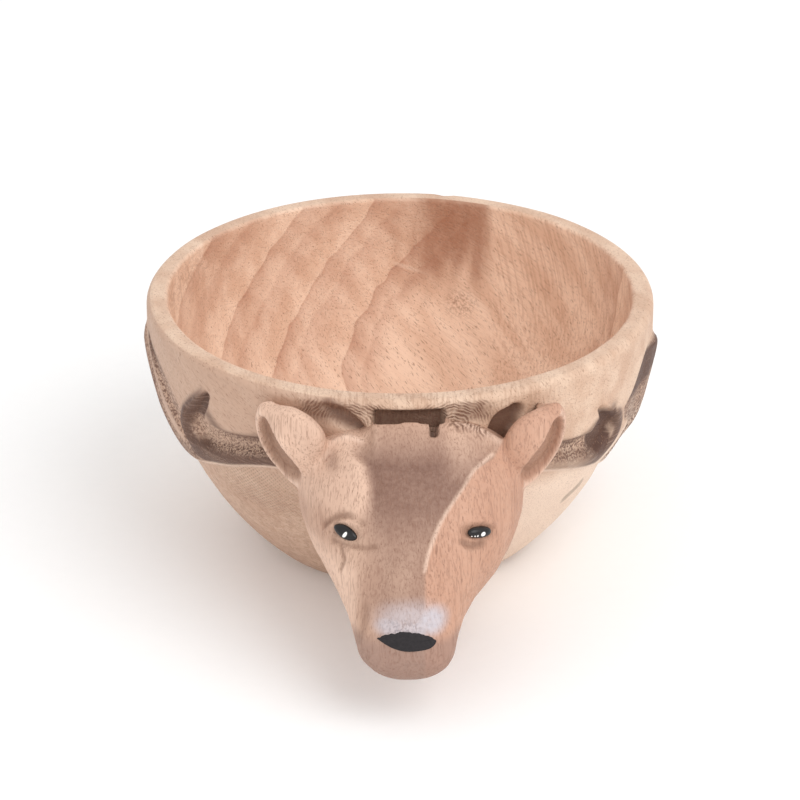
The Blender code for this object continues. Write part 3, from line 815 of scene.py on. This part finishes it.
def carve_head(made):
    clay = Clay(made.data)
    front = clay.normals[:, 1] < 0.35
    x, forward, depth = clay.points[:, 0], -clay.points[:, 1], HEIGHT - clay.points[:, 2]
    # The crown dips beside the slot, more on its left
    dip_at = (-20, -13, -9.8, -7.3, -5.6, -4.6, 8.4, 9.6, 13, 18)
    dip = np.interp(x, dip_at, (0.6, 1.5, 1.7, 2.3, 1.6, 0, 0, 0.7, 0.5, 0.9))
    clay.points[:, 2] -= dip * ease((58 - forward) / 6)
    clay.settle()
    # Three planes down the face: the left one bulges and is painted lighter as painted light, the middle one
    # is dark, the right one has a crisp edge with a painted highlight along it
    fold_at = np.interp(depth, (4, 7.3, 9.4, 12.1, 14.7, 17, 22), (-8.6, -8.3, -6.3, -5.4, -5.6, -6.3, -6.6))
    ridge_depths = (7, 9, 10.4, 12.6, 14.7, 17.2, 20.6, 23.5)
    ridge_at = np.interp(depth, ridge_depths, (19, 17.3, 13.6, 11.5, 9.3, 7.2, 5.4, 4.5))
    soft = np.interp(depth, (4, 8, 12, 15, 19.5, 30), (6.0, 3.2, 2.2, 3.0, 9.0, 10.0))
    left = 1 - ease((x - fold_at + soft / 2) / soft)
    right = ease((x - ridge_at + 0.3) / 0.6)
    # Painted light: the left plane of the face is painted lighter where the light falls on it, and a painted
    # highlight runs down the left edge of the muzzle
    clay.paint("pale_and_lit", 0.5 * left * front * (1 - ease((depth - 15) / 5)))
    clay.paint("pale_and_lit", 0.9 * ease((-6.5 - x) / 3) * ease((depth - 21) / 5))
    clay.paint("warm", right * front)
    dark = np.interp(depth, (3, 5, 9, 15, 20, 25, 28, 31), (0.05, 0.3, 1.0, 0.9, 0.6, 0.5, 0.6, 0.4))
    dark = dark * (1 - 0.5 * ease((x - 6) / 6) * (1 - ease((depth - 8) / 5)))
    clay.paint("cool", (1 - left) * (1 - right) * dark * front)
    clay.paint("cool", 0.5 * bell(np.hypot((x + 12.5) / 2.0, (depth - 9.0) / 3.4), 1.0) * front)
    fold = head_route((-8.3, 51.8, 5.0), (-8.3, 54.7, 7.3), (-6.3, 57.5, 9.4), (-5.4, 60.2, 12.1),
                      (-5.6, 62.7, 14.7), (-6.3, 64.4, 17.0))
    ridge = head_route((17.3, 53.0, 9.0), (13.6, 57.1, 10.4), (11.5, 60.0, 12.6), (9.3, 62.7, 14.7),
                       (7.2, 65.5, 17.2), (5.4, 68.9, 20.6), (4.5, 71.6, 23.5))
    distance, _ = nearest(clay.points, fold)
    clay.raise_by((0.75 * left * bell(distance, 5.0) - 0.35 * (1 - left) * bell(distance, 3.0)) * front)
    distance, _ = nearest(clay.points, ridge)
    clay.raise_by((0.35 * tent(distance, 0.9) - 0.22 * (1 - right) * bell(distance, 4.0)) * front)
    # A painted highlight along the ridge
    clay.paint("crisp", 0.9 * bell(distance, 0.6) * front)
    clay.settle()
    # Edges of the knobs each side of the crown, raised a little and given painted highlights, and a short
    # knife cut at the slot's right end, darkened inside as painted shade
    for width, strength, route in (
        (1.5, 0.9, ((10.2, 50.0, 5.0), (13.6, 50.0, 5.6), (18.1, 49.6, 8.3), (19.9, 49.4, 10.0),
                    (22.2, 47.1, 14.1))),
        (0.9, 0.7, ((-17.6, 49.0, 6.6), (-13.6, 50.4, 8.4), (-11.2, 51.2, 6.8), (-8.6, 51.6, 6.6),
                    (-6.6, 52.2, 7.4))),
        (0.9, 0.5, ((-4.6, 51.2, 4.6), (2.0, 51.6, 4.4), (5.6, 51.2, 4.5))),
    ):
        stroke(clay, head_route(*route), width, 0.3, only=front, crisp=strength)
    clay.settle()
    x, forward, depth = clay.points[:, 0], -clay.points[:, 1], HEIGHT - clay.points[:, 2]
    kerf = plateau(np.abs(x - 6.2), 0.75, 0.5) * ease((forward - 49.5) / 0.8) * (depth < 9)
    kerf *= 1 - ease((forward - 52.6) / 1.6)
    clay.points[:, 2] -= 1.5 * kerf
    # Painted shade in the knife cut
    clay.paint("cut", kerf)
    chop = ease((52.6 - forward) / 1.5) * ease(x - 7.4) * ease((20 - x) / 3.0) * ease((7.5 - depth) / 2)
    clay.paint("fan_right", chop * front)
    clay.settle()
    carve_eyes(clay, front)
    carve_muzzle(clay)
    carve_ears(clay)
    # A fine chatter from the knife over the whole head
    clay.settle()
    clay.raise_by(0.05 * roughness_of(clay.points * (1, 0.5, 0.5), 2.6, 21.0))
    # The back follows the bowl's wall, bedded into it so that no gap shows
    depth = HEIGHT - clay.points[:, 2]
    radius = np.hypot(clay.points[:, 0], clay.points[:, 1])
    least = wall_radius(np.clip(depth, 0, HEIGHT)) - HEAD_BEDDED
    scale = np.where(radius < least, least / np.maximum(radius, 1.0), 1.0)
    clay.points[:, :2] *= scale[:, None]
    clay.paint("inside", np.zeros(len(depth)))
    clay.finish()


def carve_eyes(clay, front):
    # Left: a heavy upper lid over a slanting almond, with creases under it. The creases and the socket are
    # painted darker as painted shade
    lid = head_route((-13.8, 60.6, 19.9), (-11.8, 61.5, 17.9), (-9.8, 62.5, 16.9), (-8.0, 63.5, 17.0),
                     (-6.6, 64.6, 17.6))
    stroke(clay, lid, 1.1, -0.45, only=front, crease=0.9)
    upper = lid + (0, -0.7, -1.1)
    stroke(clay, upper, 0.9, 0.30, only=front)
    for route in (
        head_route((-12.4, 63.4, 21.6), (-9.8, 65.5, 21.3), (-7.7, 67.0, 21.0), (-6.2, 67.6, 20.9),
                   (-4.6, 68.0, 20.5)),
        head_route((-10.9, 64.9, 21.8), (-10.5, 65.9, 22.8), (-10.2, 66.9, 23.9), (-10.9, 66.9, 25.7)),
    ):
        stroke(clay, route, 0.9, -0.35, only=front, crease=0.8)
    socket = head_route((-11.6, 63.0, 19.4), (-8.2, 65.4, 19.6))
    stroke(clay, socket, 2.0, -0.7, only=front, crease=0.4)
    stroke(clay, head_route((-11.4, 63.4, 18.6), (-8.0, 65.6, 19.4)), 5.5, 0.0, only=front, stipple=0.8)
    # Right: a level slit over a shallow pocket. The socket and the pocket are painted darker as painted shade
    socket = head_route((12.4, 65.0, 19.0), (16.4, 62.6, 20.2))
    stroke(clay, socket, 2.0, -0.7, only=front, crease=0.4)
    lid = head_route((11.4, 65.2, 17.6), (13.0, 64.2, 17.2), (15.4, 62.6, 17.9), (17.4, 61.2, 19.4))
    stroke(clay, lid, 0.9, 0.25, only=front)
    pocket = head_route((11.6, 66.2, 20.4), (13.1, 65.9, 21.3), (15.2, 64.4, 21.6))
    stroke(clay, pocket, 1.3, -0.45, only=front, crease=0.9)
    clay.settle()


def carve_muzzle(clay):
    groove = head_route((6.4, 69.4, 21.6), (6.2, 71.4, 23.6), (6.6, 73.6, 26.0))
    stroke(clay, groove, 2.0, -0.5)
    bridge = head_route((0.6, 73.0, 24.6), (1.0, 76.0, 28.2), (1.6, 78.6, 31.2))
    stroke(clay, bridge, 4.6, 0.5)
    clay.settle()
    # White, sprayed over the end of the muzzle, thicker on its right
    x, forward, depth = clay.points[:, 0], -clay.points[:, 1], HEIGHT - clay.points[:, 2]
    on_end = ease((forward - 70) / 4)
    for middle, level, wide, high, strength in (
        (1.6, 30.4, 7.8, 4.1, 0.7),
        (5.6, 30.3, 4.0, 2.9, 1.0),
        (-1.4, 31.0, 4.4, 2.3, 0.85),
        (2.8, 31.2, 4.8, 1.9, 0.9),
    ):
        share = np.hypot((x - middle) / wide, (depth - level) / high)
        clay.paint("white", on_end * strength * (1 - ease((share - 0.32) / 0.72)))
    share = np.hypot((x - 0.6) / 6.0, (depth - 31.2) / 2.2)
    clay.paint("craze", on_end * bell(share, 1.0))
    clay.paint("snout", ease((forward - 72) / 4) * ease((depth - 32.0) / 2.5))
    clay.paint("warm", ease((x - 8.5) / 2) * ease((depth - 24) / 4) * ease((forward - 66) / 5))
    # A groove down the left of the muzzle, painted darker as painted shade
    side = head_route((-6.4, 74.6, 29.4), (-6.5, 76.4, 32.0), (-6.8, 77.0, 34.0))
    stroke(clay, side, 1.8, -0.35, crease=0.5)
    clay.settle()


# Eyes and nose


def bead(name, middle, along, outward, size, taper, blunt, surface):
    """An almond bead: a squashed sphere, narrowed towards both corners or blunted there."""
    bm = bmesh.new()
    verts = bmesh.ops.create_uvsphere(bm, u_segments=48, v_segments=32, radius=0.5)["verts"]
    for vert in verts:
        vert.co.y *= 1 - taper * abs(2 * vert.co.x) ** 2
        vert.co.x *= 1 - blunt * abs(2 * vert.co.x) ** 3
    bmesh.ops.scale(bm, vec=[s * MM for s in size], verts=verts)
    place = facing(middle * MM, along, outward)
    bmesh.ops.transform(bm, matrix=place, verts=verts)
    return new_object(name, bm, [surface])


def dab(tree, place, middle, turn, size, soft=0.15):
    """1 inside a small ellipsoid at (x, y, z) millimetres, with a soft edge."""
    space = add(
        tree,
        "Mapping",
        {"Vector": place, "Location": Vector(middle) * MM, "Rotation": turn, "Scale": [s * MM for s in size]},
        vector_type="TEXTURE",
    )
    away = add(tree, "VectorMath", {0: space.outputs[0]}, operation="LENGTH").outputs["Value"]
    return add(tree, "MapRange", {0: away, 1: 1 - soft, 2: 1.0, 3: 1.0, 4: 0.0}).outputs[0]


# Painted glints on the eyes, white dabs in the colour that stand in for reflections of the lights: middle (x,
# forward, depth), lean, half sizes
LEFT_GLINTS = (((-10.1, 64.9, 19.5), 0.6, (0.30, 2, 0.72)),)
RIGHT_GLINTS = (
    ((15.2, 64.0, 19.7), 0.0, (0.46, 2, 0.46)),
    ((14.2, 64.6, 19.75), 0.3, (0.16, 2, 0.24)),
    ((13.7, 64.8, 19.7), -0.3, (0.14, 2, 0.2)),
    ((13.1, 65.2, 19.65), 0.3, (0.16, 2, 0.16)),
)


def gloss_eye(name, black, glints):
    """Black enamel, brushed on and glossy, with small white dabs in its colour as painted highlights for the
    glints.
    """
    made, tree, shader = new_material(name, Roughness=0.3, IOR=1.4, Coat_Weight=0.15, Coat_Roughness=0.2)
    place = add(tree, "TexCoord").outputs["Object"]
    colour = shade(black)
    haze = add(tree, "TexNoise", {"Vector": place, "Scale": 1 / (0.8 * MM), "Detail": 3.0}).outputs[0]
    colour = tinted(tree, colour, hex_colour("#1a1514"), haze)
    # Painted highlights: each glint is a white dab in the colour
    for middle, lean, size in glints:
        spot = dab(tree, place, on_head(*middle), (0, lean, 0), size)
        colour = tinted(tree, colour, hex_colour("#f8f6f2"), spot)
    tree.links.new(colour, shader.inputs["Base Color"])
    return made


def matt_nose(black):
    """Black chalky paint with a felt-like face: it takes almost no highlight."""
    made, tree, shader = new_material("matt_black_nose_paint", Roughness=0.85, IOR=1.45)
    place = add(tree, "TexCoord").outputs["Object"]
    mottle = add(tree, "TexNoise", {"Vector": place, "Scale": 1 / (0.5 * MM), "Detail": 4.0}).outputs[0]
    tone = add(tree, "MapRange", {0: mottle, 1: 0.3, 2: 0.7}).outputs[0]
    colour = tinted(tree, shade(black), hex_colour("#2d292b"), tone)
    tree.links.new(colour, shader.inputs["Base Color"])
    bump = add(tree, "Bump", {"Height": mottle, "Strength": 0.4, "Distance": 0.05 * MM})
    tree.links.new(bump.outputs[0], shader.inputs["Normal"])
    return made


NOSE_OUTLINE = ((-4.2, 33.0), (-2.7, 32.3), (-0.6, 31.8), (0.1, 31.5), (2.2, 31.6), (4.3, 32.1), (6.2, 33.0),
                (6.5, 33.6), (5.4, 34.4), (2.9, 34.8), (0.8, 34.8), (-1.3, 34.3), (-3.0, 33.6))


def nose_lens(head, surface):
    """The nose: a thin lens that follows the end of the muzzle, its upper edge left ragged."""
    tree = BVHTree.FromObject(head, bpy.context.evaluated_depsgraph_get())
    outline = smooth_route(NOSE_OUTLINE + NOSE_OUTLINE[:1], 8)[:-1]
    centre = outline.mean(0)
    bm = bmesh.new()
    rings = 14
    loops = []
    for ring in range(rings, 0, -1):
        share = ring / rings
        loop = []
        for i, (x, depth) in enumerate(outline):
            ragged = 0.16 * noise.noise(Vector((i * 0.45, 0, 4.0))) * share * (depth < centre[1])
            px = centre[0] + (x - centre[0]) * share
            pd = centre[1] + (depth - centre[1]) * share + ragged
            start = Vector((px * MM, -0.12, (HEIGHT - pd) * MM))
            hit, normal, _, _ = tree.ray_cast(start, Vector((0, 1, 0)))
            hit = hit or Vector((px * MM, -0.08, (HEIGHT - pd) * MM))
            loop.append((hit, normal or Vector((0, -0.8, 0.6)), share))
        loops.append(loop)
    rows = []
    rim = [hit - normal * 0.5 * MM for hit, normal, _ in loops[0]]
    rows.append([bm.verts.new(p) for p in rim])
    for loop in loops:
        rows.append([bm.verts.new(h + n * (0.32 * MM) * sqrt(max(1 - s**6, 0.0))) for h, n, s in loop])
    for near, far in zip(rows, rows[1:]):
        edges = [bm.edges.get((a, b)) or bm.edges.new((a, b)) for a, b in zip(near, near[1:] + near[:1])]
        edges += [bm.edges.get((a, b)) or bm.edges.new((a, b)) for a, b in zip(far, far[1:] + far[:1])]
        bmesh.ops.bridge_loops(bm, edges=edges)
    for row in (rows[0], rows[-1]):
        bm.faces.new(row)
    bmesh.ops.recalc_face_normals(bm, faces=bm.faces)
    return new_object("nose_lens", bm, [surface])


# Operators


def colour_property(name, description, value):
    return FloatVectorProperty(
        name=name, description=description, subtype="COLOR", size=4, min=0.0, max=1.0,
        default=hex_colour(value),
    )


class DeerBowlColours(bpy.types.PropertyGroup):
    bowl_light: colour_property("Wall, light", "Palest tone of the bowl's wall", "#dfc1a9")
    bowl_dark: colour_property("Wall, dark", "Darkest tone of the bowl's wall", "#cfac93")
    inside_light: colour_property("Inside, light", "Palest tone inside the bowl", "#eecdb4")
    inside_dark: colour_property("Inside, dark", "Darkest tone inside the bowl", "#ddb69b")
    # The burnt colour also serves as painted shade in the gouged hollows beside the ears
    burnt: colour_property("Burnt wood", "The darkened faces of the antlers", "#56382b")
    head_light: colour_property("Head, light", "Palest tone of the head", "#d3ae97")
    head_dark: colour_property("Head, dark", "Darkest tone of the head", "#c09a84")
    white_paint: colour_property("Muzzle white", "The white on the end of the muzzle", "#c2babf")
    eye_black: colour_property("Eye black", "The enamel of the eyes", "#0d0b0b")
    nose_black: colour_property("Nose black", "The matt paint of the nose", "#231f21")


class DeerBowlSizes(bpy.types.PropertyGroup):
    antler_relief: FloatProperty(
        name="Antler relief", description="How far the antlers stand out and are cut in, 1 as carved",
        default=1.0, min=0.0, max=2.0, subtype="FACTOR",
    )
    ring_strength: FloatProperty(
        name="Growth rings", description="How dark the growth rings are",
        default=0.6, min=0.0, max=1.0, subtype="FACTOR",
    )
    chip_depth: FloatProperty(
        name="Rim chip", description="Depth of the small chip at the back of the rim",
        default=0.75 * MM, unit="LENGTH",
    )
    camera_elevation: FloatProperty(
        name="Camera elevation", description="Height of the view above the horizon",
        default=radians(24.5), unit="ROTATION",
    )
    camera_distance: FloatProperty(
        name="Camera distance", description="From the camera to the middle of the rim",
        default=0.65, unit="LENGTH",
    )
    camera_lens: FloatProperty(name="Lens", description="Focal length in millimetres", default=148.0)


class DEERBOWL_OT_bowl(bpy.types.Operator):
    """Turn the bowl and carve both antlers in its wall"""

    bl_idname = "deerbowl.bowl"
    bl_label = "Bowl"

    def execute(self, context):
        settings, colours = context.scene.deer_bowl, context.scene.deer_bowl_colours
        wood = carved_wood(
            "sanded_rubberwood_bowl",
            BOWL_FIBRE,
            (colours.bowl_light, colours.bowl_dark),
            "#96705a",
            (
                # Painted shade on the left of the wall, partly the wood's own tone
                ("left_shade_and_tone", "#bb9883", 0.8, None),
                # Painted light on the lower right of the wall, partly the paler wood there
                ("pale_and_lit", "#f2dac6", 0.75, None),
                ("heart", "#9c684c", 0.8, None),
                ("rub", "#8f6248", 0.55, 0.45),
                ("mottled", "#a97f66", 0.45, 1.2),
                ("brown", "#735242", 0.97, 0.45),
                # The burnt faces of the antlers, and painted shade in the hollows beside the ears
                ("burn_and_shade", colours.burnt, 0.95, None),
                ("stipple", "#c4a48d", 0.85, 0.35),
                # Painted shade in the slot, the hollows and the fans beside the ears
                ("cut", "#7a5745", 0.92, None),
                # Painted highlight along the foot of the antlers' beams
                ("crisp", "#f0d8c6", 0.75, None),
                ("stain", "#a8927f", 0.7, None),
            ),
            rings=("#b07c64", settings.ring_strength, 61163.0, 98800.0),
            inside=(colours.inside_light, colours.inside_dark),
        )
        bowl = new_object("bowl_turned", spun(bowl_section(), 360, 150), [wood])
        carve_bowl(bowl, settings)
        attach(bowl, "root")
        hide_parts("bowl")
        return {"FINISHED"}


class DEERBOWL_OT_head(bpy.types.Operator):
    """Carve the deer's head with its ears"""

    bl_idname = "deerbowl.head"
    bl_label = "Head"

    def execute(self, context):
        colours = context.scene.deer_bowl_colours
        wood = carved_wood(
            "knife_cut_rubberwood_head",
            HEAD_FIBRE,
            (colours.head_light, colours.head_dark),
            "#855d4a",
            (
                # Painted light on the left plane of the face, the left edge of the muzzle and the ears'
                # raised flaps
                ("pale_and_lit", "#ecc9b2", 0.8, None),
                ("warm", "#c08f76", 0.72, None),
                ("cool", "#795749", 0.92, None),
                ("snout", "#94766a", 0.7, None),
                ("stipple", "#a58672", 0.5, 0.5),
                # Painted shade in the ears' hollows
                ("hollow", "#8e6a55", 0.8, None),
                # Painted shade in the creases round the eyes and beside the muzzle
                ("crease", "#7f5c48", 0.8, None),
                # Painted shade in the knife cut beside the slot
                ("cut", "#553b2d", 1.0, None),
                # Painted highlights along the ridge, the knobs and the ears' lips
                ("crisp", "#ecccb7", 0.75, None),
                ("white", colours.white_paint, 0.95, None),
                ("craze", "#7f7478", 0.55, 0.5),
            ),
            pore_strength=0.5,
            line_strength=0.3,
        )
        head = new_object("deer_head_carved", rough_head(), [wood])
        carve_head(head)
        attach(head, "root")
        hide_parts("deer_head")
        return {"FINISHED"}


class DEERBOWL_OT_eyes(bpy.types.Operator):
    """Set the two gloss black eyes"""

    bl_idname = "deerbowl.eyes"
    bl_label = "Eyes"

    def execute(self, context):
        black = context.scene.deer_bowl_colours.eye_black
        left_at = Vector((-9.9, -64.2, HEIGHT - 19.5))
        right_at = Vector((14.5, -63.9, HEIGHT - 19.6))
        left = bead("eye_bead_left", left_at, (0.80, -0.56, -0.22), (-0.47, -0.70, 0.54),
                    (5.6, 2.45, 1.9), 0.22, 0.06, gloss_eye("gloss_black_enamel_left", black, LEFT_GLINTS))
        right = bead("eye_bead_right", right_at, (-0.80, -0.53, 0.20), (0.52, -0.69, 0.50),
                     (5.6, 2.2, 1.9), 0.0, 0.08, gloss_eye("gloss_black_enamel_right", black, RIGHT_GLINTS))
        for made, node in ((left, "eye_left"), (right, "eye_right")):
            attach(made, "root")
            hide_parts(node)
        return {"FINISHED"}


class DEERBOWL_OT_nose(bpy.types.Operator):
    """Set the matt black nose"""

    bl_idname = "deerbowl.nose"
    bl_label = "Nose"

    def execute(self, context):
        paint = matt_nose(context.scene.deer_bowl_colours.nose_black)
        nose = nose_lens(bpy.data.objects["deer_head_carved"], paint)
        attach(nose, "root")
        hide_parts("nose_pad")
        return {"FINISHED"}


class DEERBOWL_OT_pegs(bpy.types.Operator):
    """Give the two hidden pegs their beech"""

    bl_idname = "deerbowl.pegs"
    bl_label = "Pegs"

    def execute(self, context):
        wood = carved_wood("rolled_beech_peg", Vector((0, 1, 0)), ("#d8b48c", "#c79f76"), "#8c6543", ())
        for name in ("peg_left", "peg_right"):
            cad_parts[name].material_slots[0].material = wood
        return {"FINISHED"}


class DEERBOWL_OT_stage(bpy.types.Operator):
    """Lay a pale floor and set soft studio lights and the camera"""

    bl_idname = "deerbowl.stage"
    bl_label = "Stage"

    def execute(self, context):
        sizes = context.scene.deer_bowl
        bm = bmesh.new()
        bmesh.ops.create_grid(bm, x_segments=1, y_segments=1, size=3.0)
        paper, tree, shader = new_material("white_paper_sweep", Roughness=0.9)
        place = add(tree, "TexCoord").outputs["Object"]
        fibre = add(tree, "TexNoise", {"Vector": place, "Scale": 1 / (3 * MM), "Detail": 3.0}).outputs[0]
        colour = tinted(tree, hex_colour("#f8f8f8"), hex_colour("#fbfbfb"), fibre)
        tree.links.new(colour, shader.inputs["Base Color"])
        floor = new_object("floor", bm, [paper])
        world = bpy.data.worlds.new("studio")
        context.scene.world = world
        world.use_nodes = True
        back = world.node_tree.nodes["Background"]
        back.inputs["Color"].default_value = hex_colour("#ffffff")
        back.inputs["Strength"].default_value = 0.92
        for name, place, size, power in (
            ("key", (0.55, -0.55, 0.85), 0.9, 5.0),
            ("fill", (-0.5, -0.9, 0.5), 1.0, 1.0),
        ):
            light = bpy.data.lights.new(name, "AREA")
            light.shape = "DISK"
            light.size = size
            light.energy = power
            lamp = bpy.data.objects.new(name, light)
            lamp.location = place
            lamp.rotation_mode = "QUATERNION"
            lamp.rotation_quaternion = (Vector((0, 0, 0.03)) - Vector(place)).to_track_quat("-Z", "Y")
            context.scene.collection.objects.link(lamp)
        camera = bpy.data.cameras.new("camera")
        camera.sensor_width = 36
        camera.lens = sizes.camera_lens
        camera.clip_start = 0.01
        made = bpy.data.objects.new("camera", camera)
        up = sizes.camera_elevation
        back_off = Vector((0, -cos(up), sin(up)))
        made.location = Vector((0, 0, HEIGHT * MM)) + back_off * sizes.camera_distance
        aim = Vector((0, -0.00907, 0.0321))
        made.rotation_mode = "QUATERNION"
        made.rotation_quaternion = (aim - made.location).to_track_quat("-Z", "Y")
        context.scene.collection.objects.link(made)
        context.scene.camera = made
        context.scene.view_settings.view_transform = "Standard"
        return {"FINISHED"}


OPERATORS = (
    DEERBOWL_OT_bowl,
    DEERBOWL_OT_head,
    DEERBOWL_OT_eyes,
    DEERBOWL_OT_nose,
    DEERBOWL_OT_pegs,
    DEERBOWL_OT_stage,
)


class DEERBOWL_PT_panel(bpy.types.Panel):
    bl_label = "Deer Bowl"
    bl_idname = "DEERBOWL_PT_panel"
    bl_space_type = "VIEW_3D"
    bl_region_type = "UI"
    bl_category = "Deer Bowl"

    def draw(self, context):
        scene = context.scene
        for owner, kind in ((scene.deer_bowl, DeerBowlSizes), (scene.deer_bowl_colours, DeerBowlColours)):
            for name in kind.__annotations__:
                self.layout.prop(owner, name)
        for operator in OPERATORS:
            self.layout.operator(operator.bl_idname)


CLASSES = (DeerBowlSizes, DeerBowlColours, *OPERATORS, DEERBOWL_PT_panel)


def register():
    for made in CLASSES:
        bpy.utils.register_class(made)
    bpy.types.Scene.deer_bowl = PointerProperty(type=DeerBowlSizes)
    bpy.types.Scene.deer_bowl_colours = PointerProperty(type=DeerBowlColours)


def unregister():
    del bpy.types.Scene.deer_bowl
    del bpy.types.Scene.deer_bowl_colours
    for made in reversed(CLASSES):
        bpy.utils.unregister_class(made)


def main():
    register()
    for operator in OPERATORS:
        group, name = operator.bl_idname.split(".")
        getattr(getattr(bpy.ops, group), name)()


if __name__ == "__main__":
    main()
